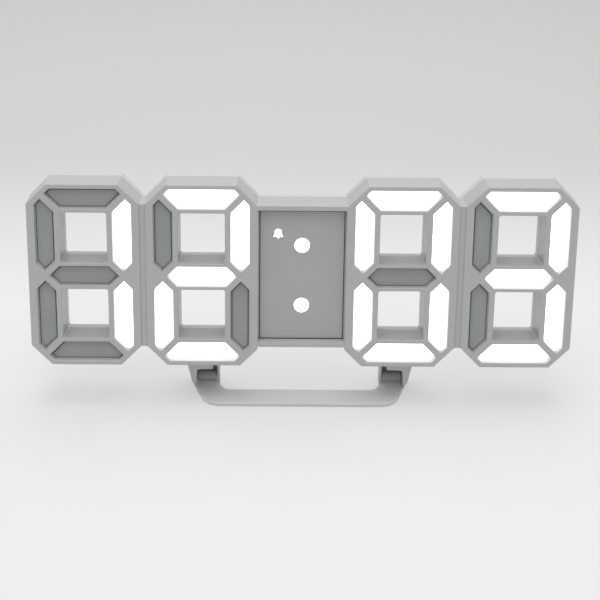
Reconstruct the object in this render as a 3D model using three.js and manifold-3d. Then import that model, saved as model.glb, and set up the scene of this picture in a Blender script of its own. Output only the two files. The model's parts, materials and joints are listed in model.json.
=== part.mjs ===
// LED digital clock: four open eight-shaped digits, a centre panel with a colon, and a fold-down foot.
// Sizes are in millimetres. The case is drawn upright, with its face at y = 0 and its depth along +y.
// It is then leaned back about X and set on the foot, which is drawn flat on the table at z = 0.

import * as THREE from 'three';
import { mergeVertices } from 'three/addons/utils/BufferGeometryUtils.js';
import Module from 'manifold-3d';

// Fits
const fitGap = 0.3;            // between separate pieces
const fineGap = 0.12;          // round the small lenses in the centre panel
const pinGap = 0.1;            // round the hinge pins
const cutMargin = 1.0;         // how far a cutting tool runs past the face it opens

// Case outline
const digitPitch = 52.6;       // between the two digits of a pair
const pairPitch = 90.0;        // between digits 2 and 3
const digitHalfWidth = 25.0;
const digitHalfHeight = 42.0;
const digitCornerCut = 9.2;    // 45 degree corners
const innerLowerCut = 7.7;     // lower corners of digits 2 and 3 beside the centre block
const linkHalfHeight = 33.0;   // bridges and centre block
const bridgeRecess = 3.0;      // bridges lie behind the face
const bodyDepth = 21.0;
const sideDraft = 1.0;         // outline growth from the face to the back
const coverDepth = 6.0;        // of the rear cover's sides
const wallInset = 1.8;         // from the face outline to the inside of the walls
const coverPlate = 2.0;
const leanAngle = THREE.MathUtils.degToRad(10);
const faceCentreHeight = 62.5; // above the table, measured at the pivot of the lean

// Segment windows, at the face
const sideBar = 3.5;           // face of the case outside windows b, c, e and f
const levelBar = 2.05;         // face of the case outside windows a and d
const windowCornerCut = 7.2;
const uprightWidth = 8.6;      // windows b, c, e and f
const levelWidth = 8.95;       // windows a and d
const middleHalfHeight = 4.6;  // window g
const middleTipInset = 6.2;    // from the outer side of the uprights to the tips of window g
const uprightTipInset = 3.9;   // from the outer side of an upright to its tip beside window g
const diagonalBar = 3.15;      // width of the slanting bars between windows
const windowRecess = 3.5;
const windowDraft = 0.67;
const lensSetback = 1.2;       // of the segment lenses behind the walls of their windows
const lensThickness = 1.8;
const lensLedge = 0.6;         // a lens overlaps its window by this on each side

// Tunnels through each digit
const innerUprightBar = 2.45;  // face of the case between an upright window and a tunnel
const innerLevelBar = 1.8;     // between window a or d and a tunnel
const innerMiddleBar = 1.5;    // between window g and a tunnel
const tunnelCorner = 1.0;
const tunnelWall = 1.9;
const cornerSteps = 3;

// Centre panel
const panelSideBar = 0.2;      // face of the case beside the panel's window
const panelLevelBar = 2.3;     // above and below it
const colonRadius = 3.3;
const colonOffset = 14.0;      // above and below the middle
const colonFlange = 1.0;       // how far a lens flange reaches past its hole
const flangeThickness = 1.0;
const bellInsetX = 9.0;        // from the left of the panel's window
const bellInsetZ = 11.3;       // from its top
const bellHalfWidth = 2.2;
const bellDomeRadius = 1.45;
const bellRim = 1.4;           // rim below the middle of the sign
const bellDomeRise = 0.6;
const clapperRadius = 0.55;

// Board and what it carries
const partsSpace = 8.3;        // behind the ribs, for the board and what it carries
const boardThickness = 1.6;
const linkBoardInset = 4.0;    // of the board at a bridge, from the bridge's top and bottom
const linkBoardReach = 3.2;    // the board passes this far into the digits beside a bridge
const keyPitch = 10.0;
const keyInset = 6.5;          // from the top of the centre block
const keyRadius = 2.6;
const keyProud = 1.2;
const keyFlange = 0.8;
const keyFlangeThickness = 0.7;
const switchSide = 6.0;
const switchHeight = 2.1;
const plungerRadius = 1.6;
const plungerHeight = 0.4;
const sounderRadius = 4.5;
const sounderHeight = 3.8;
const sounderInset = 13.0;     // from the bottom of the centre block
const inletRadius = 4.0;
const inletBore = 2.9;
const inletFloor = 1.2;
const inletPinRadius = 1.0;
const inletPinSink = 1.0;
const inletSink = 0.2;
const inletInset = 15.0;       // from the bottom of the bridge

// Wall slots in the rear cover
const slotX = 14.0;
const slotZ = 12.0;
const slotHeadRadius = 4.0;
const slotNeckRadius = 2.0;
const slotRise = 6.5;

// Cover screws
const screwHeadRadius = 2.2;
const screwHeadHeight = 1.5;
const screwShankRadius = 1.1;
const screwReach = 13.0;       // from the back of the case to the screw's end
const screwSink = 0.5;
const coverBossRadius = 3.6;
const shellBossRadius = 2.7;
const cornerScrewInsetX = 9.2; // from a digit's sides
const cornerScrewInsetZ = 7.6;
const sideScrewInset = 4.5;

// Posts and foot, on the table
const postTopInset = 11.0;     // on the back of the cover, from the bottom of a digit
const postShoulder = 3.0;
const postDepth = 8.5;
const postBendInset = 4.0;
const postRootOverlap = 0.5;
const postInnerX = 37.8;
const postOuterX = 50.2;       // at the hinge
const postSplay = THREE.MathUtils.degToRad(13.7);
const postHeadInset = 3.0;     // from the inner side of a post to its head
const postHeadEnd = 4.5;       // height at which the head's front turns back to the toe
const outerToe = 8.5;
const innerToe = 11.2;
const toeHeight = 1.2;
const innerCheek = 1.1;
const outerCheek = 1.8;
const pocketHeight = 11.0;
const pocketCorner = 1.2;
const pocketBack = 17.9;
const hingeY = 13.9;
const hingeZ = 3.4;
const hingeBarrelRadius = 2.6;
const hingePinRadius = 1.1;
const hingePinSink = 0.3;
const footThickness = 2.2;
const footFront = -8.7;
const footBarWidth = 12.5;
const footShoulder = 7.2;      // the arms narrow to a tongue here
const innerShoulder = 9.3;     // and here on their inner side
const barOuterX = 36.0;
const barInnerX = 32.5;
const armOuterX = 46.2;        // outer edge of an arm where its corner ends
const armOuterY = -1.5;
const armSplay = THREE.MathUtils.degToRad(17);

const roundSteps = 28;
const smallSteps = 20;

// Places that follow from the sizes above
const partingDepth = bodyDepth - coverDepth;
const ribDepth = bodyDepth - partsSpace;
const screwTip = bodyDepth - screwReach;
const lensFront = windowRecess + lensSetback;
const lensBack = lensFront + lensThickness;
const boardFront = ribDepth + fitGap;
const boardBack = boardFront + boardThickness;
const partsFront = boardBack + fitGap;
const coverFront = partingDepth + fitGap;
const coverInside = bodyDepth - coverPlate;
const screwSeat = bodyDepth - screwSink - screwHeadHeight;
const windowHalfWidth = digitHalfWidth - sideBar;
const windowHalfHeight = digitHalfHeight - levelBar;
const middleTip = windowHalfWidth - middleTipInset;
const uprightTip = windowHalfWidth - uprightTipInset;
const tunnelHalfWidth = windowHalfWidth - uprightWidth - innerUprightBar;
const tunnelTop = windowHalfHeight - levelWidth - innerLevelBar;
const tunnelBottom = middleHalfHeight + innerMiddleBar;
const linkHalfWidth = pairPitch / 2 - digitHalfWidth;
const bridgeHalfWidth = digitPitch / 2 - digitHalfWidth;
const panelHalfWidth = linkHalfWidth - panelSideBar;
const panelHalfHeight = linkHalfHeight - panelLevelBar;
const bellX = bellInsetX - panelHalfWidth;
const bellZ = panelHalfHeight - bellInsetZ;
const keyZ = linkHalfHeight - keyInset;
const sounderZ = sounderInset - linkHalfHeight;
const inletZ = inletInset - linkHalfHeight;
const cornerScrewX = digitHalfWidth - cornerScrewInsetX;
const cornerScrewZ = digitHalfHeight - cornerScrewInsetZ;
const sideScrewX = digitHalfWidth - sideScrewInset;
const postTop = postTopInset - digitHalfHeight;
const postBend = postBendInset - digitHalfHeight;
const headFront = coverFront + fitGap;
const postHeadX = postInnerX + postHeadInset;
const pocketInnerX = postInnerX + innerCheek;
const pocketOuterX = postOuterX - outerCheek;
const digitCentres = [
  -pairPitch / 2 - digitPitch,
  -pairPitch / 2,
  pairPitch / 2,
  pairPitch / 2 + digitPitch,
];
const bridgeCentres = [-(pairPitch + digitPitch) / 2, (pairPitch + digitPitch) / 2];

const wasm = await Module();
wasm.setup();

function toSolid(geometry) {
  const bare = geometry.clone();
  bare.deleteAttribute('normal');
  bare.deleteAttribute('uv');
  const welded = mergeVertices(bare, 1e-4);
  return new wasm.Manifold(new wasm.Mesh({
    numProp: 3,
    vertProperties: new Float32Array(welded.attributes.position.array),
    triVerts: new Uint32Array(welded.index.array),
  }));
}

function toGeometry(solid) {
  const mesh = solid.getMesh();
  const geometry = new THREE.BufferGeometry();
  geometry.setAttribute('position', new THREE.BufferAttribute(new Float32Array(mesh.vertProperties), 3));
  geometry.setIndex(new THREE.BufferAttribute(new Uint32Array(mesh.triVerts), 1));
  return geometry;
}

// A convex prism between two outlines of [x, z] points, anticlockwise as seen from the front.
function prism(frontRing, backRing, yFront, yBack) {
  const count = frontRing.length;
  const positions = [];
  const faces = [];
  for (const [x, z] of frontRing) positions.push(x, yFront, z);
  for (const [x, z] of backRing) positions.push(x, yBack, z);
  for (let i = 0; i < count; i += 1) {
    const next = (i + 1) % count;
    faces.push(i, count + i, count + next, i, count + next, next);
  }
  for (let i = 1; i < count - 1; i += 1) {
    faces.push(0, i, i + 1, count, count + i + 1, count + i);
  }
  const geometry = new THREE.BufferGeometry();
  geometry.setAttribute('position', new THREE.Float32BufferAttribute(positions, 3));
  geometry.setIndex(faces);
  return toSolid(geometry);
}

function straightPrism(ring, yFront, yBack) {
  return prism(ring, ring, yFront, yBack);
}

// Moves every edge of a convex outline outward by a distance.
function grow(ring, distance) {
  const count = ring.length;
  const lines = ring.map(([x, z], i) => {
    const [nextX, nextZ] = ring[(i + 1) % count];
    const length = Math.hypot(nextX - x, nextZ - z);
    const normal = [(nextZ - z) / length, -(nextX - x) / length];
    return { normal, offset: normal[0] * x + normal[1] * z + distance };
  });
  return ring.map((point, i) => {
    const before = lines[(i + count - 1) % count];
    const after = lines[i];
    const det = before.normal[0] * after.normal[1] - before.normal[1] * after.normal[0];
    return [
      (before.offset * after.normal[1] - after.offset * before.normal[1]) / det,
      (before.normal[0] * after.offset - after.normal[0] * before.offset) / det,
    ];
  });
}

function shifted(ring, x, z) {
  return ring.map(([px, pz]) => [px + x, pz + z]);
}

function mirrored(ring, signX, signZ) {
  const flipped = ring.map(([x, z]) => [x * signX, z * signZ]);
  return signX * signZ < 0 ? flipped.reverse() : flipped;
}

function rectangle(halfWidth, halfHeight) {
  return [[-halfWidth, -halfHeight], [halfWidth, -halfHeight], [halfWidth, halfHeight], [-halfWidth, halfHeight]];
}

function cutRectangle(halfWidth, halfHeight, cut) {
  const quarter = [[halfWidth, halfHeight - cut], [halfWidth - cut, halfHeight]];
  return [
    ...mirrored(quarter, 1, -1),
    ...quarter,
    ...mirrored(quarter, -1, 1),
    ...mirrored(quarter, -1, -1),
  ];
}

function roundedRectangle(halfWidth, halfHeight, radius) {
  const ring = [];
  const corners = [[1, -1, -Math.PI / 2], [1, 1, 0], [-1, 1, Math.PI / 2], [-1, -1, Math.PI]];
  for (const [signX, signZ, start] of corners) {
    for (let step = 0; step <= cornerSteps; step += 1) {
      const angle = start + (step / cornerSteps) * (Math.PI / 2);
      ring.push([
        signX * (halfWidth - radius) + radius * Math.cos(angle),
        signZ * (halfHeight - radius) + radius * Math.sin(angle),
      ]);
    }
  }
  return ring;
}

// A round piece along y from a profile of [radius, y] points.
function turned(profile, steps) {
  const points = profile.map(([radius, y]) => new THREE.Vector2(radius, y));
  return toSolid(new THREE.LatheGeometry(points, steps));
}

function rod(radius, yFront, yBack, x, z, steps) {
  return turned([[0, yFront], [radius, yFront], [radius, yBack], [0, yBack]], steps).translate([x, 0, z]);
}

function rodAlongX(radius, xLow, xHigh, y, z, steps) {
  const geometry = new THREE.CylinderGeometry(radius, radius, xHigh - xLow, steps);
  geometry.rotateZ(Math.PI / 2);
  geometry.translate((xLow + xHigh) / 2, y, z);
  return toSolid(geometry);
}

// A shape drawn in x and z, carried along y.
function carried(shape, yFront, yBack, steps) {
  const settings = { depth: yBack - yFront, bevelEnabled: false, curveSegments: steps };
  const geometry = new THREE.ExtrudeGeometry(shape, settings);
  geometry.rotateX(Math.PI / 2);
  geometry.translate(0, yBack, 0);
  return toSolid(geometry);
}

// A shape drawn in x and y, carried up.
function raised(shape, zLow, zHigh, steps) {
  const settings = { depth: zHigh - zLow, bevelEnabled: false, curveSegments: steps };
  const geometry = new THREE.ExtrudeGeometry(shape, settings);
  geometry.translate(0, 0, zLow);
  return toSolid(geometry);
}

function box(low, high) {
  const size = high.map((value, i) => value - low[i]);
  const geometry = new THREE.BoxGeometry(...size);
  geometry.translate(...high.map((value, i) => (value + low[i]) / 2));
  return toSolid(geometry);
}

function joined(solids) {
  return solids.reduce((sum, solid) => sum.add(solid));
}

// Outline growth at a depth, from the draft of the sides
function draftAt(depth) {
  return (sideDraft * depth) / bodyDepth;
}

const digitRing = cutRectangle(digitHalfWidth, digitHalfHeight, digitCornerCut);
const leftOfCentreRing = [
  [digitHalfWidth - innerLowerCut, -digitHalfHeight],
  [digitHalfWidth, innerLowerCut - digitHalfHeight],
  ...digitRing.slice(2),
];
const outerRings = [digitRing, leftOfCentreRing, mirrored(leftOfCentreRing, -1, 1), digitRing];
const linkRing = rectangle(linkHalfWidth + digitCornerCut, linkHalfHeight);
const bridgeRing = rectangle(bridgeHalfWidth + digitCornerCut, linkHalfHeight);

// The outside of the case between two depths
function caseBlock(yFront, yBack) {
  const drafted = (ring, start) => prism(
    grow(ring, draftAt(start)), grow(ring, draftAt(yBack)), start, yBack,
  );
  const digits = digitCentres.map((x, i) => drafted(outerRings[i], yFront).translate([x, 0, 0]));
  const bridgeStart = Math.max(yFront, bridgeRecess);
  const bridges = bridgeCentres.map((x) => drafted(bridgeRing, bridgeStart).translate([x, 0, 0]));
  return joined([...digits, ...bridges, drafted(linkRing, yFront)]);
}

// The space inside the walls, or the board when it is drawn smaller
function insideBlock(yFront, yBack, inset) {
  const digit = straightPrism(grow(digitRing, -wallInset - inset), yFront, yBack);
  const bridge = rectangle(bridgeHalfWidth + linkBoardReach, linkHalfHeight - linkBoardInset - inset);
  const link = rectangle(linkHalfWidth + linkBoardReach, linkHalfHeight - wallInset - inset);
  const bridgePrism = straightPrism(bridge, yFront, yBack);
  return joined([
    ...digitCentres.map((x) => digit.translate([x, 0, 0])),
    ...bridgeCentres.map((x) => bridgePrism.translate([x, 0, 0])),
    straightPrism(link, yFront, yBack),
  ]);
}

const tunnelRing = roundedRectangle(tunnelHalfWidth, (tunnelTop - tunnelBottom) / 2, tunnelCorner);
const tunnelCentre = (tunnelTop + tunnelBottom) / 2;

function tunnels(yFront, yBack, growth) {
  const one = straightPrism(grow(tunnelRing, growth), yFront, yBack);
  return joined(digitCentres.flatMap((x) => [
    one.translate([x, 0, tunnelCentre]),
    one.translate([x, 0, -tunnelCentre]),
  ]));
}

// Window outlines of one digit, at the face
const cornerSum = windowHalfWidth + windowHalfHeight - windowCornerCut;
const barSpan = diagonalBar * Math.SQRT2;
const diagonal = tunnelTop - tunnelHalfWidth;
const levelDiagonal = diagonal + barSpan / 2;
const uprightDiagonal = diagonal - barSpan / 2;
const levelInner = windowHalfHeight - levelWidth;
const uprightInner = windowHalfWidth - uprightWidth;
const uprightSum = middleTip + barSpan;
const tipZ = uprightSum - uprightTip;

const levelHalf = [
  [levelInner - levelDiagonal, levelInner],
  [(cornerSum - levelDiagonal) / 2, (cornerSum + levelDiagonal) / 2],
  [cornerSum - windowHalfHeight, windowHalfHeight],
];
const levelRing = [...levelHalf, ...mirrored(levelHalf, -1, 1)];
const uprightRing = [
  [uprightTip, tipZ],
  [windowHalfWidth, tipZ + windowHalfWidth - uprightTip],
  [windowHalfWidth, cornerSum - windowHalfWidth],
  [(cornerSum - uprightDiagonal) / 2, (cornerSum + uprightDiagonal) / 2],
  [uprightInner, uprightInner + uprightDiagonal],
  [uprightInner, uprightSum - uprightInner],
];
const middleHalf = [
  [middleTip - middleHalfHeight, -middleHalfHeight],
  [middleTip, 0],
  [middleTip - middleHalfHeight, middleHalfHeight],
];
const segmentRings = {
  a: levelRing,
  b: uprightRing,
  c: mirrored(uprightRing, 1, -1),
  d: mirrored(levelRing, 1, -1),
  e: mirrored(uprightRing, -1, -1),
  f: mirrored(uprightRing, -1, 1),
  g: [...middleHalf, ...mirrored(middleHalf, -1, 1)],
};
const shownSegments = ['bc', 'abged', 'abcdef', 'abgcd'];

function windowCut(ring) {
  const slope = windowDraft / windowRecess;
  const mouth = prism(
    grow(ring, slope * cutMargin), grow(ring, -windowDraft), -cutMargin, windowRecess,
  );
  const lightBox = straightPrism(grow(ring, lensLedge + fitGap - windowDraft), windowRecess, boardFront);
  return mouth.add(lightBox);
}

function lens(ring) {
  return straightPrism(grow(ring, lensLedge - windowDraft), lensFront, lensBack);
}

const panelRing = rectangle(panelHalfWidth, panelHalfHeight);
const panelFront = windowRecess + fitGap;
const panelBack = panelFront + lensThickness;

const screwPlaces = [
  [digitCentres[0] - cornerScrewX, cornerScrewZ],
  [digitCentres[0] - cornerScrewX, -cornerScrewZ],
  [digitCentres[1] + sideScrewX, 0],
  [digitCentres[2] - sideScrewX, 0],
  [digitCentres[3] + cornerScrewX, cornerScrewZ],
  [digitCentres[3] + cornerScrewX, -cornerScrewZ],
];

function rodsAtScrews(radius, yFront, yBack) {
  return joined(screwPlaces.map(([x, z]) => rod(radius, yFront, yBack, x, z, smallSteps)));
}

function frontShell() {
  const windows = digitCentres.flatMap((x) => Object.values(segmentRings).map(
    (ring) => windowCut(shifted(ring, x, 0)),
  ));
  const cavity = insideBlock(ribDepth, partingDepth + cutMargin, 0)
    .subtract(tunnels(ribDepth - cutMargin, partingDepth + cutMargin, tunnelWall));
  return caseBlock(0, partingDepth)
    .subtract(joined(windows))
    .subtract(windowCut(panelRing))
    .subtract(cavity)
    .add(rodsAtScrews(shellBossRadius, lensBack + fitGap, ribDepth))
    .subtract(rodsAtScrews(screwShankRadius + fitGap, screwTip - fitGap, partingDepth))
    .subtract(tunnels(-cutMargin, partingDepth + cutMargin, 0));
}

// Upright position to position on the table, both as [y, z]
function leaned(y, z) {
  return [
    y * Math.cos(leanAngle) + z * Math.sin(leanAngle),
    faceCentreHeight - y * Math.sin(leanAngle) + z * Math.cos(leanAngle),
  ];
}

// Upright height of a point at a depth in the case and a height above the table
function uprightZ(y, tableZ) {
  return (tableZ - faceCentreHeight + y * Math.sin(leanAngle)) / Math.cos(leanAngle);
}

const leanMatrix = new THREE.Matrix4()
  .makeTranslation(0, 0, faceCentreHeight)
  .multiply(new THREE.Matrix4().makeRotationX(-leanAngle));

function lean(solid) {
  return solid.transform(leanMatrix.elements);
}

function mirroredPair(solid) {
  return solid.add(solid.mirror([1, 0, 0]));
}

// A slice of the right-hand post between two x, from an outline of [y, z] points
function postSlice(outline, xLow, xHigh) {
  const shape = new THREE.Shape(outline.map(([y, z]) => new THREE.Vector2(y, z)));
  const geometry = new THREE.ExtrudeGeometry(shape, { depth: xHigh - xLow, bevelEnabled: false });
  geometry.applyMatrix4(new THREE.Matrix4().makeBasis(
    new THREE.Vector3(0, 1, 0), new THREE.Vector3(0, 0, 1), new THREE.Vector3(1, 0, 0),
  ));
  geometry.translate(xLow, 0, 0);
  return toSolid(geometry);
}

// The outer side of a post at a height above the table
function postOuterAt(z) {
  return postOuterX + Math.tan(postSplay) * (z - hingeZ);
}

// The right-hand post, standing on the table
function post() {
  const root = bodyDepth - postRootOverlap;
  const back = bodyDepth + postDepth;
  const height = leaned(root, postTop)[1] + cutMargin;
  const outerX = postOuterAt(height);
  const turn = leaned(headFront, uprightZ(headFront, postHeadEnd));
  const behind = [
    leaned(back, uprightZ(back, 0)),
    leaned(back, postBend),
    leaned(bodyDepth + postShoulder, postTop),
    leaned(root, postTop),
  ];
  const web = [
    leaned(root, uprightZ(root, pocketHeight)),
    [innerToe, toeHeight],
    [innerToe, 0],
    ...behind,
  ];
  const head = [
    leaned(root, -digitHalfHeight),
    leaned(headFront, -digitHalfHeight),
    turn,
    [outerToe, toeHeight],
    [outerToe, 0],
    ...behind,
  ];
  const splayed = straightPrism([
    [postInnerX, -cutMargin],
    [postOuterAt(-cutMargin), -cutMargin],
    [outerX, height],
    [postInnerX, height],
  ], turn[0] - cutMargin, back);
  const pocketHalfWidth = (pocketOuterX - pocketInnerX) / 2;
  const pocketHalfHeight = pocketHeight / 2 + pocketCorner;
  const pocketRing = shifted(
    roundedRectangle(pocketHalfWidth, pocketHalfHeight, pocketCorner),
    pocketInnerX + pocketHalfWidth,
    pocketHeight - pocketHalfHeight,
  );
  const pinHole = rodAlongX(
    hingePinRadius + pinGap, postInnerX - cutMargin, outerX, hingeY, hingeZ, smallSteps,
  );
  return postSlice(web, postInnerX, outerX)
    .add(postSlice(head, postHeadX, outerX))
    .intersect(splayed)
    .subtract(straightPrism(pocketRing, turn[0] - cutMargin, pocketBack))
    .subtract(pinHole);
}

function wallSlot(x) {
  const yFront = coverInside - cutMargin;
  const yBack = bodyDepth + cutMargin;
  const neck = shifted(rectangle(slotNeckRadius, slotRise / 2), x, slotZ + slotRise / 2);
  return joined([
    rod(slotHeadRadius, yFront, yBack, x, slotZ, roundSteps),
    straightPrism(neck, yFront, yBack),
    rod(slotNeckRadius, yFront, yBack, x, slotZ + slotRise, smallSteps),
  ]);
}

const keyPlaces = [-keyPitch, 0, keyPitch];
const inletX = bridgeCentres[1];

function rearCover() {
  const cavity = insideBlock(coverFront - cutMargin, coverInside, 0)
    .subtract(tunnels(coverFront - cutMargin, bodyDepth, tunnelWall))
    .subtract(rodsAtScrews(coverBossRadius, coverFront, bodyDepth));
  const openings = joined([
    ...keyPlaces.map((x) => rod(keyRadius + fitGap, coverInside - cutMargin, bodyDepth + cutMargin,
      x, keyZ, roundSteps)),
    rod(inletRadius + fitGap, coverInside - cutMargin, bodyDepth + cutMargin, inletX, inletZ, roundSteps),
    wallSlot(-slotX),
    wallSlot(slotX),
  ]);
  const shell = caseBlock(coverFront, bodyDepth)
    .subtract(cavity)
    .subtract(openings)
    .subtract(rodsAtScrews(screwHeadRadius + fitGap, screwSeat - fitGap, bodyDepth + cutMargin))
    .subtract(rodsAtScrews(screwShankRadius + fitGap, coverFront - cutMargin, bodyDepth))
    .subtract(tunnels(coverFront - cutMargin, bodyDepth + cutMargin, 0));
  return lean(shell).add(mirroredPair(post()));
}

function board() {
  return insideBlock(boardFront, boardBack, fitGap)
    .subtract(tunnels(boardFront - cutMargin, boardBack + cutMargin, tunnelWall + fitGap))
    .subtract(rodsAtScrews(screwShankRadius + fitGap, boardFront - cutMargin, boardBack + cutMargin));
}

// A lens with a flange behind the panel
function colonLens(z) {
  const flangeFront = panelBack + fitGap;
  return turned([
    [0, panelFront],
    [colonRadius, panelFront],
    [colonRadius, flangeFront],
    [colonRadius + colonFlange, flangeFront],
    [colonRadius + colonFlange, flangeFront + flangeThickness],
    [0, flangeFront + flangeThickness],
  ], roundSteps).translate([0, 0, z]);
}

function bellShape(growth) {
  const half = bellHalfWidth + growth;
  const dome = bellDomeRadius + growth;
  const rim = -bellRim - growth;
  const clapper = clapperRadius + growth;
  const shape = new THREE.Shape();
  shape.moveTo(-half, rim);
  shape.lineTo(-clapper, rim);
  shape.absarc(0, rim, clapper, Math.PI, 2 * Math.PI, false);
  shape.lineTo(half, rim);
  shape.quadraticCurveTo(dome, rim / 2, dome, bellDomeRise);
  shape.absarc(0, bellDomeRise, dome, 0, Math.PI, false);
  shape.quadraticCurveTo(-dome, rim / 2, -half, rim);
  return shape;
}

function bellLens() {
  const flangeFront = panelBack + fitGap;
  const sign = carried(bellShape(0), panelFront, flangeFront, cornerSteps * 2);
  const flange = rod(bellHalfWidth + colonFlange, flangeFront, flangeFront + flangeThickness, 0, 0, smallSteps);
  return sign.add(flange).translate([bellX, 0, bellZ]);
}

function centrePanel() {
  const yFront = panelFront - cutMargin;
  const yBack = panelBack + cutMargin;
  return straightPrism(grow(panelRing, lensLedge - windowDraft), panelFront, panelBack)
    .subtract(rod(colonRadius + fineGap, yFront, yBack, 0, colonOffset, roundSteps))
    .subtract(rod(colonRadius + fineGap, yFront, yBack, 0, -colonOffset, roundSteps))
    .subtract(carried(bellShape(fineGap), yFront, yBack, cornerSteps * 2).translate([bellX, 0, bellZ]));
}

function keyCap(x) {
  const flangeBack = coverInside - fitGap;
  const flangeFront = flangeBack - keyFlangeThickness;
  const top = bodyDepth + keyProud;
  const edge = keyRadius - fitGap;
  return turned([
    [0, flangeFront],
    [keyRadius + keyFlange, flangeFront],
    [keyRadius + keyFlange, flangeBack],
    [keyRadius, flangeBack],
    [keyRadius, top - fitGap],
    [edge, top],
    [0, top],
  ], roundSteps).translate([x, 0, keyZ]);
}

function keySwitch(x) {
  const half = switchSide / 2;
  const bodyBack = partsFront + switchHeight;
  return straightPrism(shifted(rectangle(half, half), x, keyZ), partsFront, bodyBack)
    .add(rod(plungerRadius, partsFront, bodyBack + plungerHeight, x, keyZ, smallSteps));
}

function powerInlet() {
  const mouth = bodyDepth - inletSink;
  const floor = partsFront + inletFloor;
  return turned([
    [0, partsFront],
    [inletRadius, partsFront],
    [inletRadius, mouth],
    [inletBore, mouth],
    [inletBore, floor],
    [inletPinRadius, floor],
    [inletPinRadius, mouth - inletPinSink],
    [0, mouth - inletPinSink],
  ], roundSteps).translate([inletX, 0, inletZ]);
}

function screw([x, z]) {
  return turned([
    [0, screwTip],
    [screwShankRadius, screwTip],
    [screwShankRadius, screwSeat],
    [screwHeadRadius, screwSeat],
    [screwHeadRadius, screwSeat + screwHeadHeight],
    [0, screwSeat + screwHeadHeight],
  ], smallSteps).translate([x, 0, z]);
}

// The U-shaped foot, flat on the table
function foot() {
  const slope = Math.tan(armSplay);
  const barBack = footFront + footBarWidth;
  const cornerX = armOuterX - slope * (armOuterY - footFront);
  const shoulderOuter = armOuterX + slope * (footShoulder - armOuterY);
  const innerX = postInnerX - slope * (innerShoulder - barBack);
  const shape = new THREE.Shape();
  shape.moveTo(-barOuterX, footFront);
  shape.lineTo(barOuterX, footFront);
  shape.quadraticCurveTo(cornerX, footFront, armOuterX, armOuterY);
  shape.lineTo(shoulderOuter, footShoulder);
  shape.lineTo(postHeadX, footShoulder);
  shape.lineTo(postHeadX, innerShoulder);
  shape.lineTo(postInnerX, innerShoulder);
  shape.quadraticCurveTo(innerX, barBack, barInnerX, barBack);
  shape.lineTo(-barInnerX, barBack);
  shape.quadraticCurveTo(-innerX, barBack, -postInnerX, innerShoulder);
  shape.lineTo(-postHeadX, innerShoulder);
  shape.lineTo(-postHeadX, footShoulder);
  shape.lineTo(-shoulderOuter, footShoulder);
  shape.lineTo(-armOuterX, armOuterY);
  shape.quadraticCurveTo(-cornerX, footFront, -barOuterX, footFront);
  const tongueInner = pocketInnerX + fitGap;
  const tongueOuter = pocketOuterX - fitGap;
  const tongue = box(
    [tongueInner, footShoulder - cutMargin, 0],
    [tongueOuter, hingeY, footThickness],
  );
  const barrel = rodAlongX(hingeBarrelRadius, tongueInner, tongueOuter, hingeY, hingeZ, roundSteps);
  const pinHole = rodAlongX(
    hingePinRadius + pinGap, tongueInner - cutMargin, tongueOuter + cutMargin, hingeY, hingeZ, smallSteps,
  );
  return raised(shape, 0, footThickness, smallSteps)
    .add(mirroredPair(tongue.add(barrel)))
    .subtract(mirroredPair(pinHole));
}

function hingePin() {
  return rodAlongX(
    hingePinRadius, postInnerX + hingePinSink, postOuterX - hingePinSink, hingeY, hingeZ, smallSteps,
  );
}

const looks = {
  casePlastic: { color: 0xa8a8a6, roughness: 0.55, metalness: 0 },
  coverPlastic: { color: 0xa0a09e, roughness: 0.6, metalness: 0 },
  darkLens: { color: 0x7d8383, roughness: 0.4, metalness: 0 },
  litLens: { color: 0xfdfdff, roughness: 0.4, metalness: 0, emissive: 0xffffff, emissiveIntensity: 1 },
  panelPlastic: { color: 0x97979a, roughness: 0.45, metalness: 0 },
  boardLaminate: { color: 0xe4e6e2, roughness: 0.6, metalness: 0 },
  keyPlastic: { color: 0xb0b0ae, roughness: 0.5, metalness: 0 },
  blackPlastic: { color: 0x1c1c1e, roughness: 0.5, metalness: 0 },
  steel: { color: 0x9a9ca0, roughness: 0.35, metalness: 1 },
  footPlastic: { color: 0xbababa, roughness: 0.5, metalness: 0 },
};
const materials = {};
for (const [name, look] of Object.entries(looks)) {
  materials[name] = new THREE.MeshStandardMaterial({ name, ...look });
}

// Centres the finished clock over the origin from front to back
const backmost = leaned(bodyDepth, digitHalfHeight + sideDraft)[0];
const depthShift = -(footFront + backmost) / 2;

const clock = new THREE.Group();
clock.name = 'led_digital_clock';

function place(name, solid, look) {
  const geometry = toGeometry(solid.translate([0, depthShift, 0]));
  geometry.computeVertexNormals();
  const mesh = new THREE.Mesh(geometry, materials[look]);
  mesh.name = name;
  clock.add(mesh);
}

function placeLeaned(name, solid, look) {
  place(name, lean(solid), look);
}

placeLeaned('front_shell', frontShell(), 'casePlastic');
place('rear_cover', rearCover(), 'coverPlastic');
digitCentres.forEach((x, index) => {
  for (const [segment, ring] of Object.entries(segmentRings)) {
    const look = shownSegments[index].includes(segment) ? 'litLens' : 'darkLens';
    placeLeaned(`digit_${index + 1}_segment_${segment}`, lens(shifted(ring, x, 0)), look);
  }
});
placeLeaned('centre_panel', centrePanel(), 'panelPlastic');
placeLeaned('colon_lens_upper', colonLens(colonOffset), 'litLens');
placeLeaned('colon_lens_lower', colonLens(-colonOffset), 'litLens');
placeLeaned('alarm_sign_lens', bellLens(), 'litLens');
placeLeaned('light_board', board(), 'boardLaminate');
['left', 'middle', 'right'].forEach((side, index) => {
  placeLeaned(`key_cap_${side}`, keyCap(keyPlaces[index]), 'keyPlastic');
  placeLeaned(`key_switch_${side}`, keySwitch(keyPlaces[index]), 'blackPlastic');
});
const sounder = rod(sounderRadius, partsFront, partsFront + sounderHeight, 0, sounderZ, roundSteps);
placeLeaned('alarm_sounder', sounder, 'blackPlastic');
placeLeaned('power_inlet', powerInlet(), 'blackPlastic');
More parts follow.
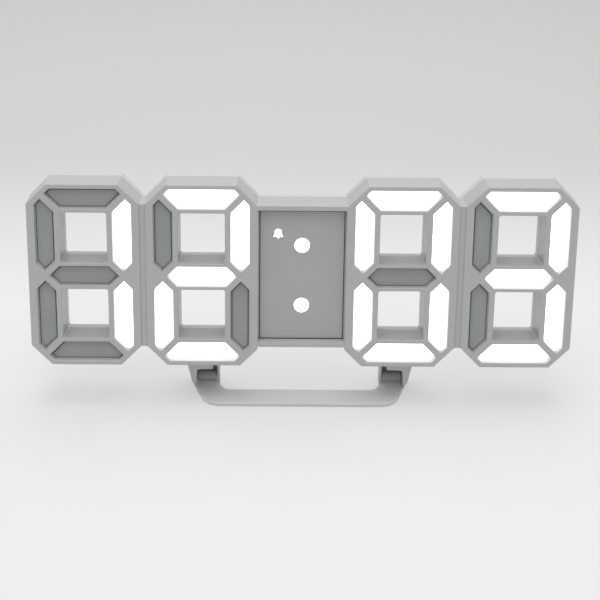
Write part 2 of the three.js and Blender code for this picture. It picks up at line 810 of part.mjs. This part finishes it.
screwPlaces.forEach((spot, index) => {
  placeLeaned(`cover_screw_${index + 1}`, screw(spot), 'steel');
});
place('stand_foot', foot(), 'footPlastic');
place('hinge_pin_right', hingePin(), 'steel');
place('hinge_pin_left', hingePin().mirror([1, 0, 0]), 'steel');

export default clock;
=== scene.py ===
import json
import math
import bmesh
import bpy
from mathutils import Matrix, Vector


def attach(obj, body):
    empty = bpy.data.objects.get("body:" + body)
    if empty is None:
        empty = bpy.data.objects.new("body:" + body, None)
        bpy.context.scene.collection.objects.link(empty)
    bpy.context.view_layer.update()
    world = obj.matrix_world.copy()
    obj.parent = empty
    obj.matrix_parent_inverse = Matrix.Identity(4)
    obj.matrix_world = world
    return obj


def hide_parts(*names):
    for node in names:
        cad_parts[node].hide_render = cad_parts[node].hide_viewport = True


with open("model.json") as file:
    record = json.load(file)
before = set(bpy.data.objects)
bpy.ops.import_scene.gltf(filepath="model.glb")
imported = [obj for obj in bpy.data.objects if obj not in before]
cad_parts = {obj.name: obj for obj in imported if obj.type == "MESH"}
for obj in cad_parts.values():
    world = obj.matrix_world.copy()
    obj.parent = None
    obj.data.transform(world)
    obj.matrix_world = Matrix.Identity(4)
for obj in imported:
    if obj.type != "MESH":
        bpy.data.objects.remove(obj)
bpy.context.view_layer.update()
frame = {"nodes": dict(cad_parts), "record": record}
nodes = frame["nodes"]
scene = bpy.context.scene
scene.view_settings.view_transform = "Standard"
print("frame loaded:", len(nodes), "nodes")

mm = 0.001

# the case leans back about X, with the middle of its face this far above the table
stance = {
    "lean": math.radians(10),
    "faceHeight": 62.5 * mm,
    "depthShift": -9.724 * mm,
}
standing = Matrix.Translation((0, stance["depthShift"], stance["faceHeight"]))
standing = standing @ Matrix.Rotation(-stance["lean"], 4, "X")
upright = standing.inverted()
forward = standing.to_3x3() @ Vector((0, -1, 0))

# the camera, measured from the middle of the face with the case upright
viewpoint = {
    "place": Vector((-14.26, -608.62, 174.89)) * mm,
    "pitch": math.radians(16.94),
    "yaw": math.radians(-0.256),
    "roll": math.radians(0.487),
    "focalPixels": 1411.1,
    "axisPixel": 276,
    "imagePixels": 600,
    "sensorWidth": 36,
    "clipStart": 10 * mm,
}


def makeCamera():
    data = bpy.data.cameras.new("camera")
    data.sensor_width = viewpoint["sensorWidth"]
    data.lens = viewpoint["focalPixels"] / viewpoint["imagePixels"] * viewpoint["sensorWidth"]
    data.shift_x = 0.5 - viewpoint["axisPixel"] / viewpoint["imagePixels"]
    data.clip_start = viewpoint["clipStart"]
    camera = bpy.data.objects.new("camera", data)
    turn = Matrix.Rotation(viewpoint["yaw"], 4, "Z")
    turn = turn @ Matrix.Rotation(math.pi / 2 - viewpoint["pitch"], 4, "X")
    turn = turn @ Matrix.Rotation(viewpoint["roll"], 4, "Z")
    camera.matrix_world = standing @ Matrix.Translation(viewpoint["place"]) @ turn
    scene.collection.objects.link(camera)
    scene.camera = camera


makeCamera()
print("camera set")


# a six-figure colour code as the linear colour that a shader takes
def hexLinear(code):
    channels = [int(code[i:i + 2], 16) / 255 for i in (0, 2, 4)]
    linear = [c / 12.92 if c <= 0.04045 else ((c + 0.055) / 1.055) ** 2.4 for c in channels]
    return (*linear, 1.0)


def addNode(tree, kind, inputs=None, settings=None):
    node = tree.nodes.new(kind)
    for name, value in (settings or {}).items():
        setattr(node, name, value)
    for name, value in (inputs or {}).items():
        if isinstance(value, bpy.types.NodeSocket):
            tree.links.new(value, node.inputs[name])
        else:
            node.inputs[name].default_value = value
    return node


def newMaterial(name):
    material = bpy.data.materials.new(name)
    material.use_nodes = True
    return material, material.node_tree, material.node_tree.nodes["Principled BSDF"]


# noise on the object's own coordinates, with cells of the given size in mm
def addNoise(tree, size, detail, roughness=0.5):
    place = addNode(tree, "ShaderNodeTexCoord").outputs["Object"]
    return addNode(tree, "ShaderNodeTexNoise", {
        "Vector": place, "Scale": 1 / (size * mm), "Detail": detail, "Roughness": roughness,
    }).outputs[0]


# a colour from the first tone to the second, by a value from 0 to 1
def addTone(tree, value, first, second):
    inputs = {0: value, 6: hexLinear(first), 7: hexLinear(second)}
    return addNode(tree, "ShaderNodeMix", inputs, {"data_type": "RGBA"}).outputs[2]


# roughness between two limits, by the middle part of a noise
def addDullness(tree, value, rough):
    middle = (0.3, 0.7)
    return addNode(tree, "ShaderNodeMapRange", {
        "Value": value, "From Min": middle[0], "From Max": middle[1],
        "To Min": rough[0], "To Max": rough[1],
    }).outputs[0]


# ABS moulded in a spark-eroded tool: an even fine grain that breaks up every highlight.
# The real grain is near 0.1 mm and is drawn about four times as coarse so that it shows.
# The clouds are the faint drift of tone in the moulded colour. Both sizes are in mm.
def mouldedAbs(name, look):
    settings = {
        "grainDetail": 2.0, "grainRoughness": 0.6, "grainDepth": 0.05 * mm,
        "cloudDetail": 3.0, "cloudRoughness": 0.55, "refraction": 1.53,
    }
    material, tree, shader = newMaterial(name)
    grain = addNoise(tree, look["grain"], settings["grainDetail"], settings["grainRoughness"])
    cloud = addNoise(tree, look["cloud"], settings["cloudDetail"], settings["cloudRoughness"])
    relief = addNode(tree, "ShaderNodeBump", {
        "Height": grain, "Strength": look["relief"], "Distance": settings["grainDepth"],
    }).outputs[0]
    tree.links.new(addTone(tree, cloud, look["deep"], look["pale"]), shader.inputs["Base Color"])
    tree.links.new(addDullness(tree, grain, look["rough"]), shader.inputs["Roughness"])
    tree.links.new(relief, shader.inputs["Normal"])
    shader.inputs["IOR"].default_value = settings["refraction"]
    shader.inputs["Specular IOR Level"].default_value = look["gloss"]
    return material


materials = {
    "case_plastic": mouldedAbs("silverGreyAbs", {
        "grain": 0.45, "cloud": 22, "deep": "b5b5b5", "pale": "bbbbbb",
        "rough": (0.26, 0.34), "relief": 0.1, "gloss": 0.5,
    }),
    # painted light: the cover is the case's plastic in a lighter tone, for the light that reaches the
    # posts and the backs of the tunnels under the case
    "cover_plastic": mouldedAbs("coverLitAbs", {
        "grain": 0.6, "cloud": 22, "deep": "cacac9", "pale": "d0d0cf",
        "rough": (0.28, 0.38), "relief": 0.12, "gloss": 0.5,
    }),
    # painted light: the foot is the case's plastic in a lighter tone, for the light that reaches its top
    # under the case
    "foot_plastic": mouldedAbs("footLitAbs", {
        "grain": 0.45, "cloud": 22, "deep": "dadada", "pale": "e0e0e0",
        "rough": (0.28, 0.36), "relief": 0.1, "gloss": 0.5,
    }),
    "key_plastic": mouldedAbs("keyAbs", {
        "grain": 0.4, "cloud": 10, "deep": "b4b4b2", "pale": "bcbcba",
        "rough": (0.4, 0.52), "relief": 0.2, "gloss": 0.45,
    }),
    "panel_plastic": mouldedAbs("panelAbs", {
        "grain": 0.4, "cloud": 18, "deep": "aeaeb2", "pale": "b4b4b8",
        "rough": (0.42, 0.52), "relief": 0.12, "gloss": 0.4,
    }),
    "black_plastic": mouldedAbs("blackNylon", {
        "grain": 0.5, "cloud": 8, "deep": "1c1c1e", "pale": "242426",
        "rough": (0.45, 0.6), "relief": 0.3, "gloss": 0.4,
    }),
    "board_laminate": mouldedAbs("whiteSolderMask", {
        "grain": 1.2, "cloud": 15, "deep": "dadcd8", "pale": "e4e6e2",
        "rough": (0.35, 0.5), "relief": 0.1, "gloss": 0.5,
    }),
}


# smoked acrylic diffuser, unlit: a dull cool grey with a soft sheen from its frosted front.
# The clouds and the frost are given in mm.
def smokedDiffuser():
    settings = {
        "deep": "969b9c", "pale": "a0a5a5", "cloud": 14, "frost": 0.35, "detail": 2.0,
        "rough": (0.38, 0.5), "refraction": 1.49,
    }
    material, tree, shader = newMaterial("smokedDiffuser")
    cloud = addNoise(tree, settings["cloud"], settings["detail"])
    frost = addNoise(tree, settings["frost"], settings["detail"])
    tree.links.new(addTone(tree, cloud, settings["deep"], settings["pale"]), shader.inputs["Base Color"])
    tree.links.new(addDullness(tree, frost, settings["rough"]), shader.inputs["Roughness"])
    shader.inputs["IOR"].default_value = settings["refraction"]
    return material


# opal acrylic diffuser lit from behind: even white, a little cooler between the light chips,
# which stand about 9 mm apart
def litDiffuser():
    settings = {
        "chipSpacing": 9, "detail": 0.0, "between": "f3f3ff", "bright": "ffffff", "strength": 2.4,
        "opal": "e8e8ea", "roughness": 0.4, "refraction": 1.49,
    }
    material, tree, shader = newMaterial("litDiffuser")
    chips = addNoise(tree, settings["chipSpacing"], settings["detail"])
    glow = addTone(tree, chips, settings["between"], settings["bright"])
    tree.links.new(glow, shader.inputs["Emission Color"])
    shader.inputs["Emission Strength"].default_value = settings["strength"]
    shader.inputs["Base Color"].default_value = hexLinear(settings["opal"])
    shader.inputs["Roughness"].default_value = settings["roughness"]
    shader.inputs["IOR"].default_value = settings["refraction"]
    return material


# zinc-plated steel, rolled and turned: a soft grey shine with fine marks about 0.25 mm wide
def platedSteel():
    settings = {"tone": "b9babd", "marks": 0.25, "detail": 3.0, "rough": (0.28, 0.45)}
    material, tree, shader = newMaterial("platedSteel")
    marks = addNoise(tree, settings["marks"], settings["detail"])
    tree.links.new(addDullness(tree, marks, settings["rough"]), shader.inputs["Roughness"])
    shader.inputs["Base Color"].default_value = hexLinear(settings["tone"])
    shader.inputs["Metallic"].default_value = 1.0
    return material


materials["lens_dark"] = smokedDiffuser()
materials["lens_lit"] = litDiffuser()
materials["screw_steel"] = platedSteel()

slotOf = {part["node"]: part["material_slot"] for part in frame["record"]["subparts"]}
for nodeName, node in nodes.items():
    node.data.materials.clear()
    node.data.materials.append(materials[slotOf[nodeName]])
print("materials made:", len(materials))


def finishPiece(bm, name, body, slotName, replaced, material=None):
    settings = {"sharp": math.radians(35)}
    mesh = bpy.data.meshes.new(name)
    bm.to_mesh(mesh)
    bm.free()
    mesh.materials.append(material or materials[slotName])
    # a copy of a node brings normals that its new faces don't have
    brought = mesh.attributes.get("custom_normal")
    if brought:
        mesh.attributes.remove(brought)
    for face in mesh.polygons:
        face.use_smooth = True
    mesh.set_sharp_from_angle(angle=settings["sharp"])
    piece = bpy.data.objects.new(name, mesh)
    scene.collection.objects.link(piece)
    evened = piece.modifiers.new("evened", "WEIGHTED_NORMAL")
    evened.keep_sharp = True
    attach(piece, body)
    if replaced:
        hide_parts(*replaced)
    return piece


# a node's solid as large faces, without the triangles it came in
def plainCopy(nodeName):
    settings = {"weld": 0.002 * mm, "flat": math.radians(0.5)}
    bm = bmesh.new()
    bm.from_mesh(nodes[nodeName].data)
    bmesh.ops.remove_doubles(bm, verts=bm.verts, dist=settings["weld"])
    bmesh.ops.dissolve_limit(bm, angle_limit=settings["flat"], verts=bm.verts, edges=bm.edges)
    return bm


def roundEdges(bm, edges, radius, steps):
    bmesh.ops.bevel(
        bm, geom=edges, offset=radius, offset_type="OFFSET", affect="EDGES",
        segments=steps, profile=0.5, clamp_overlap=False, material=-1,
    )


# rounds the chosen sharp edges as a mould leaves them
def soften(bm, radius, steps, chosen):
    settings = {"sharp": math.radians(30)}
    edges = [edge for edge in bm.edges if edge.calc_face_angle(0) > settings["sharp"] and chosen(edge)]
    roundEdges(bm, edges, radius, steps)
    print("rounded edges:", len(edges))


# extrudes faces, takes away the ones left behind, and gives the new corners and faces
def drawOut(bm, faces):
    drawn = bmesh.ops.extrude_face_region(bm, geom=faces)["geom"]
    bmesh.ops.delete(bm, geom=faces, context="FACES")
    corners = [item for item in drawn if isinstance(item, bmesh.types.BMVert)]
    return corners, [item for item in drawn if isinstance(item, bmesh.types.BMFace)]


# the front shell, in mm with the case upright. A window's end corners are measured from the middle
# of its digit, and a bridge's corners from the middle of the bridge, in the solid and as shown.
shell = {
    "digits": (-97.6, -45, 45, 97.6),
    "near": 0.05,
    "windowDepth": 3.55,
    "endReach": 0.4,
    "endCorners": [
        (14.3, 39.95), (16.64, 37.61), (10.02, 31), (14.02, 39.28), (15.69, 37.61), (9.75, 31.67),
        (15.3, 0), (10.7, 4.6), (14.35, 0), (10.42, 3.93),
    ],
    "bridgeMiddle": 71.3,
    "bridgeDepths": (3, 0.8),
    "bridgeCorners": [((1.16, 32.86), (1.263, 32.816)), ((1.44, 33.14), (1.484, 33.036))],
    "faceDepth": 0.05,
    "cuts": (-18.1, 0, 18.1),
    "straight": 0.002 * mm,
    "round": 0.4 * mm,
    "steps": 3,
}


def uprightPlace(vertex):
    return (upright @ vertex.co) / mm


# the level windows reach a little further out at both ends than in the solid
def stretchWindows(bm):
    moved = 0
    for vertex in bm.verts:
        place = uprightPlace(vertex)
        digit = min(shell["digits"], key=lambda middle: abs(place.x - middle))
        spot = Vector((abs(place.x - digit), abs(place.z)))
        atEnd = any((spot - Vector(corner)).length < shell["near"] for corner in shell["endCorners"])
        if atEnd and place.y < shell["windowDepth"]:
            vertex.co.x += math.copysign(shell["endReach"] * mm, place.x - digit)
            moved += 1
    print("window corners moved:", moved)


# the bridges lie less deep than in the solid, between the same walls
def raiseBridges(bm):
    solidDepth, shownDepth = shell["bridgeDepths"]
    moved = 0
    for vertex in bm.verts:
        place = uprightPlace(vertex)
        middle = math.copysign(shell["bridgeMiddle"], place.x)
        spot = Vector((abs(place.x - middle), place.y, abs(place.z)))
        for (solidX, solidZ), (shownX, shownZ) in shell["bridgeCorners"]:
            if (spot - Vector((solidX, solidDepth, solidZ))).length < shell["near"]:
                x = middle + math.copysign(shownX, place.x - middle)
                vertex.co = standing @ (Vector((x, shownDepth, math.copysign(shownZ, place.z))) * mm)
                moved += 1
                break
    print("bridge corners moved:", moved)


def onFace(item):
    return all(uprightPlace(vertex).y < shell["faceDepth"] for vertex in item.verts)


# cuts the face square across its openings, so that no slanting seam bends the rounding
def squareFace(bm):
    for x in [0] + [digit + cut for digit in shell["digits"] for cut in shell["cuts"]]:
        parts = [item for items in (bm.faces, bm.edges) for item in items if onFace(item)]
        corners = [vertex for vertex in bm.verts if uprightPlace(vertex).y < shell["faceDepth"]]
        bmesh.ops.bisect_plane(
            bm, geom=parts + corners, dist=shell["straight"],
            plane_co=(x * mm, 0, 0), plane_no=(1, 0, 0),
        )
    seams = [
        edge for edge in bm.edges
        if all(onFace(face) for face in edge.link_faces)
        and abs(edge.verts[0].co.x - edge.verts[1].co.x) > shell["straight"]
    ]
    bmesh.ops.dissolve_edges(bm, edges=seams, use_verts=True)


def makeFrontShell():
    bm = plainCopy("front_shell")
    stretchWindows(bm)
    raiseBridges(bm)
    squareFace(bm)
    soften(bm, shell["round"], shell["steps"], onFace)
    finishPiece(bm, "frontShell", "case", "case_plastic", ["front_shell"])


makeFrontShell()
print("front shell made")


# rounds the rim of the cover's back and the long edges of the two posts, clear of the hinge pins
def makeRearCover():
    settings = {
        "round": 0.4 * mm, "steps": 3, "back": 20.95 * mm, "bodyBottom": -42 * mm,
        "postTop": 16.5 * mm, "shortest": 1.2 * mm,
        "hinge": Vector((0, 4.18, 3.4)) * mm, "pinRoom": 1.6 * mm,
    }

    def clearOfPin(vertex):
        apart = vertex.co - settings["hinge"]
        return math.hypot(apart.y, apart.z) > settings["pinRoom"]

    def onBackOrPost(edge):
        ends = [upright @ vertex.co for vertex in edge.verts]
        if all(end.y > settings["back"] for end in ends):
            return all(end.z > settings["bodyBottom"] for end in ends)
        below = all(vertex.co.z < settings["postTop"] for vertex in edge.verts)
        clear = all(clearOfPin(vertex) for vertex in edge.verts)
        return below and clear and edge.calc_length() > settings["shortest"]

    bm = plainCopy("rear_cover")
    soften(bm, settings["round"], settings["steps"], onBackOrPost)
    finishPiece(bm, "rearCover", "case", "cover_plastic", ["rear_cover"])


makeRearCover()
print("rear cover made")


# rounds the foot's top and bottom rims, each given as height, radius and steps, in front of its tongues
def makeFoot():
    settings = {
        "rims": [(2.2 * mm, 0.3 * mm, 3), (0, 1.2 * mm, 5)],
        "near": 0.05 * mm,
        "tongue": -2.6 * mm,
    }
    bm = plainCopy("stand_foot")
    for height, radius, steps in settings["rims"]:
        soften(bm, radius, steps, lambda edge: all(
            abs(vertex.co.z - height) < settings["near"] and vertex.co.y < settings["tongue"]
            for vertex in edge.verts
        ))
    finishPiece(bm, "standFoot", "foot", "foot_plastic", ["stand_foot"])


makeFoot()
print("foot made")


# grey sleeves over the top and back of the foot's hinge barrels, which hold it by friction, darker than
# the foot: painted shade for the shadow in the hinge pockets
def makeSleeves():
    settings = {
        "hinge": Vector((0, 4.176, 3.4)) * mm,
        "inner": 2.6 * mm,
        "outer": 2.85 * mm,
        "near": 39.35 * mm,
        "far": 47.95 * mm,
        "start": math.radians(-80),
        "sweep": math.radians(284),
        "steps": 40,
    }
    section = [
        (settings["near"], settings["inner"]), (settings["far"], settings["inner"]),
        (settings["far"], settings["outer"]), (settings["near"], settings["outer"]),
    ]
    ahead, above = math.cos(settings["start"]), math.sin(settings["start"])
    bm = bmesh.new()
    for side in (-1, 1):
        corners = [bm.verts.new((side * x, radius * ahead, radius * above)) for x, radius in section]
        lines = [bm.edges.new((corners[i], corners[i - 1])) for i in range(len(corners))]
        bmesh.ops.spin(
            bm, geom=corners + lines, cent=(0, 0, 0), axis=(1, 0, 0), angle=settings["sweep"],
            steps=settings["steps"],
        )
    bmesh.ops.holes_fill(bm, edges=bm.edges, sides=4)
    bmesh.ops.recalc_face_normals(bm, faces=bm.faces)
    bmesh.ops.translate(bm, vec=settings["hinge"], verts=bm.verts)
    # painted shade: the sleeves' grey stands in for the shadow deep in the pockets
    pocketShade = mouldedAbs("hingePocketShade", {
        "grain": 0.5, "cloud": 8, "deep": "a6a6a2", "pale": "aeaeaa",
        "rough": (0.55, 0.7), "relief": 0.2, "gloss": 0.3,
    })
    finishPiece(bm, "hingeSleeves", "foot", "black_plastic", [], pocketShade)


makeSleeves()
print("hinge sleeves made")


# a profile of radius and depth in mm, turned about a line through the case at x and z
def turnedPiece(profile, place, steps):
    settings = {"weld": 0.001 * mm}
    bm = bmesh.new()
    points = [bm.verts.new((radius * mm, depth * mm, 0)) for radius, depth in profile]
    lines = [bm.edges.new(pair) for pair in zip(points, points[1:])]
    bmesh.ops.spin(
        bm, geom=points + lines, cent=(0, 0, 0), axis=(0, 1, 0), angle=2 * math.pi,
        steps=steps, use_merge=True,
    )
    bmesh.ops.remove_doubles(bm, verts=bm.verts, dist=settings["weld"])
    bmesh.ops.recalc_face_normals(bm, faces=bm.faces)
    bmesh.ops.translate(bm, vec=Vector((place[0], 0, place[1])) * mm, verts=bm.verts)
    return bm


def standUp(bm):
    bmesh.ops.transform(bm, matrix=standing, verts=bm.verts)


# each screw is turned with an open head, which a tapered cross recess then closes
def makeScrews():
    settings = {
        "places": [
            (-113.4, 34.4), (-113.4, -34.4), (-24.5, 0), (24.5, 0), (113.4, 34.4), (113.4, -34.4),
        ],
        "profile": [
            (0, 8), (0.4, 8.1), (1.1, 9.2), (1.1, 19), (2.2, 19), (2.2, 19.9), (2.08, 20.2),
            (1.8, 20.42), (1.4, 20.5),
        ],
        "steps": 24,
        "head": 20.5 * mm,
        "crossReach": 1.1 * mm,
        "crossDepth": 0.9 * mm,
        "crossTaper": 0.7,
    }
    level = Matrix.Translation((0, settings["head"], 0)) @ Matrix.Rotation(math.pi / 2, 4, "X")
    third = settings["crossReach"] / 3
    for number, place in enumerate(settings["places"], 1):
        bm = turnedPiece(settings["profile"], (0, 0), settings["steps"])
        rim = [edge for edge in bm.edges if edge.is_boundary]
        turned = set(bm.faces)
        bmesh.ops.create_grid(
            bm, x_segments=3, y_segments=3, size=settings["crossReach"], matrix=level,
        )
        squares = [(face, face.calc_center_median()) for face in bm.faces if face not in turned]
        corners = [face for face, middle in squares if abs(middle.x) > third and abs(middle.z) > third]
        bmesh.ops.delete(bm, geom=corners, context="FACES")
        cross = [face for face in bm.faces if face not in turned]
        sides = [edge for face in cross for edge in face.edges if edge.is_boundary]
        bmesh.ops.subdivide_edges(bm, edges=sides, cuts=1)
        cross = [face for face in bm.faces if face not in turned]
        sides = [edge for face in cross for edge in face.edges if edge.is_boundary]
        bmesh.ops.bridge_loops(bm, edges=rim + sides)
        bottom, _ = drawOut(bm, cross)
        bmesh.ops.translate(bm, vec=(0, -settings["crossDepth"], 0), verts=bottom)
        bmesh.ops.scale(bm, vec=(settings["crossTaper"], 1, settings["crossTaper"]), verts=bottom)
        bmesh.ops.recalc_face_normals(bm, faces=bm.faces)
        bmesh.ops.translate(bm, vec=Vector((place[0], 0, place[1])) * mm, verts=bm.verts)
        standUp(bm)
        finishPiece(bm, "coverScrew%d" % number, "case", "screw_steel", ["cover_screw_%d" % number])


makeScrews()
print("screws made")


# key caps with a guide flange inside the case and a dished top
def makeKeys():
    settings = {
        "places": {"left": -10, "middle": 0, "right": 10},
        "height": 26.5,
        "steps": 40,
        "profile": [
            (0, 18), (3.4, 18), (3.4, 18.7), (2.6, 18.7), (2.6, 21.88), (2.53, 22.06), (2.36, 22.18),
            (2.15, 22.2), (1.95, 22.14), (1.4, 22.03), (0.7, 21.97), (0, 21.95),
        ],
    }
    for side, x in settings["places"].items():
        bm = turnedPiece(settings["profile"], (x, settings["height"]), settings["steps"])
        standUp(bm)
        finishPiece(bm, "keyCap" + side.title(), "key_" + side, "key_plastic", ["key_cap_" + side])


makeKeys()
print("keys made")


# the round power inlet with its centre pin and the contact sleeve inside its bore
def makeInlet():
    settings = {
        "place": (71.3, -18),
        "steps": 40,
        "socket": [
            (0, 14.9), (4, 14.9), (4, 20.5), (3.88, 20.72), (3.65, 20.8), (3.3, 20.8), (2.9, 20.4),
            (2.9, 16.1), (0, 16.1),
        ],
        "pin": [(0, 16.1), (1, 16.1), (1, 19.4), (0.85, 19.68), (0.5, 19.8), (0, 19.8)],
        "sleeve": [
            (2.62, 16.2), (2.86, 16.2), (2.86, 19.7), (2.74, 19.8), (2.62, 19.7), (2.62, 16.2),
        ],
    }
    bm = turnedPiece(settings["socket"], settings["place"], settings["steps"])
    standUp(bm)
    finishPiece(bm, "inletSocket", "case", "black_plastic", ["power_inlet"])
    for name in ("pin", "sleeve"):
        bm = turnedPiece(settings[name], settings["place"], settings["steps"])
        standUp(bm)
        finishPiece(bm, "inlet" + name.title(), "case", "screw_steel", [])


makeInlet()
print("power inlet made")


# a lens's front stands out into its window, and the ends of a level one reach out as its window's do
lensFront = {
    "inset": 0.7 * mm,
    "level": ("a", "d", "g"),
    "reach": 0.35 * mm,
    "rise": 2.3 * mm,
    "round": 0.15 * mm,
    "steps": 2,
}


def frontOf(bm):
    return max(bm.faces, key=lambda face: face.normal.dot(forward))


def lensReach(nodeName):
    return lensFront["reach"] if nodeName[-1] in lensFront["level"] else 0


# insets a face, then moves its two ends out along X
def insetFace(bm, face, width, reach):
    bmesh.ops.inset_region(bm, faces=[face], thickness=width, use_boundary=True, use_even_offset=True)
    middle = face.calc_center_bounds().x
    for vertex in face.verts:
        vertex.co.x += math.copysign(reach, vertex.co.x - middle)


# the 28 segment lenses, each with a raised front that leaves a narrow gap all round
def makeLenses():
    for nodeName, slotName in slotOf.items():
        if "_segment_" in nodeName:
            bm = plainCopy(nodeName)
            front = frontOf(bm)
            insetFace(bm, front, lensFront["inset"], lensReach(nodeName))
            corners, (raised,) = drawOut(bm, [front])
            bmesh.ops.translate(bm, vec=forward * lensFront["rise"], verts=corners)
            roundEdges(bm, list(raised.edges), lensFront["round"], lensFront["steps"])
            _, digit, _, segment = nodeName.split("_")
            name = "digit" + digit + "Segment" + segment.upper()
            finishPiece(bm, name, "case", slotName, [nodeName])


makeLenses()
print("lenses made")


# turns a single flat face into a thin frame, raised by its thickness
def frameFromFace(bm, gapShade, reach):
    face = next(iter(bm.faces))
    insetFace(bm, face, gapShade["width"], reach)
    bmesh.ops.delete(bm, geom=[face], context="FACES")
    bmesh.ops.translate(bm, vec=forward * gapShade["gap"], verts=bm.verts)
    raised = bmesh.ops.extrude_face_region(bm, geom=bm.faces[:])["geom"]
    raised = [item for item in raised if isinstance(item, bmesh.types.BMVert)]
    bmesh.ops.translate(bm, vec=forward * gapShade["rise"], verts=raised)
    bmesh.ops.recalc_face_normals(bm, faces=bm.faces)


# thin black frames: painted shade that darkens the narrow gap round the unlit segments and round the
# panel
def makeGapShades():
    lensGapShade = {"width": 0.68 * mm, "rise": 0.6 * mm, "gap": 0.02 * mm}
    panelGapShade = {"width": 0.95 * mm, "rise": 0.24 * mm, "gap": 0.02 * mm}
    frames = []
    for nodeName, slotName in slotOf.items():
        if slotName == "lens_dark":
            frameBm = plainCopy(nodeName)
            front = frontOf(frameBm)
            rest = [face for face in frameBm.faces if face is not front]
            bmesh.ops.delete(frameBm, geom=rest, context="FACES")
            frameFromFace(frameBm, lensGapShade, lensReach(nodeName))
            frames.append(frameBm)
    corners = [upright @ vertex.co for vertex in nodes["centre_panel"].data.vertices]
    halfWidth, halfHeight = (max(corner[axis] for corner in corners) for axis in (0, 2))
    depth = min(corner.y for corner in corners)
    panelFront = standing @ Matrix.Translation((0, depth, 0)) @ Matrix.Rotation(math.pi / 2, 4, "X")
    panelFront = panelFront @ Matrix.Diagonal((halfWidth, halfHeight, 1, 1))
    frameBm = bmesh.new()
    bmesh.ops.create_grid(frameBm, x_segments=1, y_segments=1, size=1, matrix=panelFront)
    frameFromFace(frameBm, panelGapShade, 0)
    frames.append(frameBm)
    bm = bmesh.new()
    for frameBm in frames:
        loose = bpy.data.meshes.new("gapShade")
        frameBm.to_mesh(loose)
        frameBm.free()
        bm.from_mesh(loose)
        bpy.data.meshes.remove(loose)
    # painted shade: black frames in the gaps, where only shadow falls
    finishPiece(bm, "lensGapShades", "case", "black_plastic", [])


makeGapShades()
print("gapShades made")

# plain soft studio light and a pale paper floor, whose fibres are drawn 0.8 mm wide
studio = {
    "floorSize": 4.0,
    "floorTone": "dbdbda",
    "floorRoughness": 0.9,
    "floorGloss": 0.1,
    "fibre": 0.8,
    "fibreDetail": 3.0,
    "fibreRelief": 0.05,
    "fibreDepth": 0.05 * mm,
    "nearTone": "fefefe",
    # the far tone is painted shade, for the light that falls off towards the back
    "farPaintedShade": "bfbebd",
    "shadeStart": 0.06,
    "shadeEnd": 0.33,
    "shownTone": 0.42,
    "worldTone": "ffffff",
    "worldStrength": 0.56,
    "horizonStrength": 0.455,
    "lamps": {
        "softboxFront": {"place": Vector((-0.1, -0.3, 1.1)), "size": 0.9, "power": 4.6},
        "softboxBack": {"place": Vector((0, 0.45, 0.95)), "size": 0.8, "power": 3.8},
    },
    "aim": Vector((0, 0, 0.03)),
}


def addMath(tree, operation, first, second):
    return addNode(tree, "ShaderNodeMath", {0: first, 1: second}, {"operation": operation}).outputs[0]


# the camera sees the paper's pale tone, darkened towards the back by painted shade in place of the light
# falling off there, mixed with its shading
def floorPaper():
    material, tree, shader = newMaterial("floorPaper")
    relief = addNode(tree, "ShaderNodeBump", {
        "Height": addNoise(tree, studio["fibre"], studio["fibreDetail"]),
        "Strength": studio["fibreRelief"], "Distance": studio["fibreDepth"],
    }).outputs[0]
    tree.links.new(relief, shader.inputs["Normal"])
    shader.inputs["Base Color"].default_value = hexLinear(studio["floorTone"])
    shader.inputs["Roughness"].default_value = studio["floorRoughness"]
    shader.inputs["Specular IOR Level"].default_value = studio["floorGloss"]
    place = addNode(tree, "ShaderNodeTexCoord").outputs["Object"]
    depth = addNode(tree, "ShaderNodeSeparateXYZ", {"Vector": place}).outputs["Y"]
    # painted shade: the shown tone runs from the near tone to the darker far tone with depth behind the
    # clock
    back = addNode(tree, "ShaderNodeMapRange", {
        "Value": depth, "From Min": studio["shadeStart"], "From Max": studio["shadeEnd"],
    }, {"interpolation_type": "SMOOTHSTEP"}).outputs[0]
    tone = addTone(tree, back, studio["nearTone"], studio["farPaintedShade"])
    shown = addNode(tree, "ShaderNodeEmission", {"Color": tone}).outputs[0]
    ray = addNode(tree, "ShaderNodeLightPath").outputs
    seen = addMath(tree, "MAXIMUM", ray["Is Camera Ray"], ray["Is Glossy Ray"])
    seen = addMath(tree, "MAXIMUM", seen, ray["Is Transmission Ray"])
    share = addMath(tree, "MULTIPLY", seen, studio["shownTone"])
    surface = addNode(tree, "ShaderNodeMixShader", {0: share, 1: shader.outputs[0], 2: shown}).outputs[0]
    tree.links.new(surface, tree.nodes["Material Output"].inputs["Surface"])
    return material


def makeFloor():
    bm = bmesh.new()
    bmesh.ops.create_grid(bm, x_segments=2, y_segments=2, size=studio["floorSize"])
    mesh = bpy.data.meshes.new("floor")
    bm.to_mesh(mesh)
    bm.free()
    mesh.materials.append(floorPaper())
    floor = bpy.data.objects.new("floor", mesh)
    scene.collection.objects.link(floor)


# the camera sees the world in the tone of the far floor, so that no horizon shows
def makeWorld():
    world = bpy.data.worlds.new("studioWorld")
    world.use_nodes = True
    tree = world.node_tree
    background = tree.nodes["Background"]
    background.inputs["Color"].default_value = hexLinear(studio["worldTone"])
    ray = addNode(tree, "ShaderNodeLightPath").outputs["Is Camera Ray"]
    strength = addNode(tree, "ShaderNodeMix", {
        0: ray, 2: studio["worldStrength"], 3: studio["horizonStrength"],
    }).outputs[0]
    tree.links.new(strength, background.inputs["Strength"])
    scene.world = world


def makeLamps():
    for name, box in studio["lamps"].items():
        data = bpy.data.lights.new(name, "AREA")
        data.shape = "SQUARE"
        data.size = box["size"]
        data.energy = box["power"]
        lamp = bpy.data.objects.new(name, data)
        lamp.location = box["place"]
        lamp.rotation_mode = "QUATERNION"
        lamp.rotation_quaternion = (studio["aim"] - box["place"]).to_track_quat("-Z", "Y")
        scene.collection.objects.link(lamp)


makeFloor()
makeWorld()
makeLamps()
print("studio set")
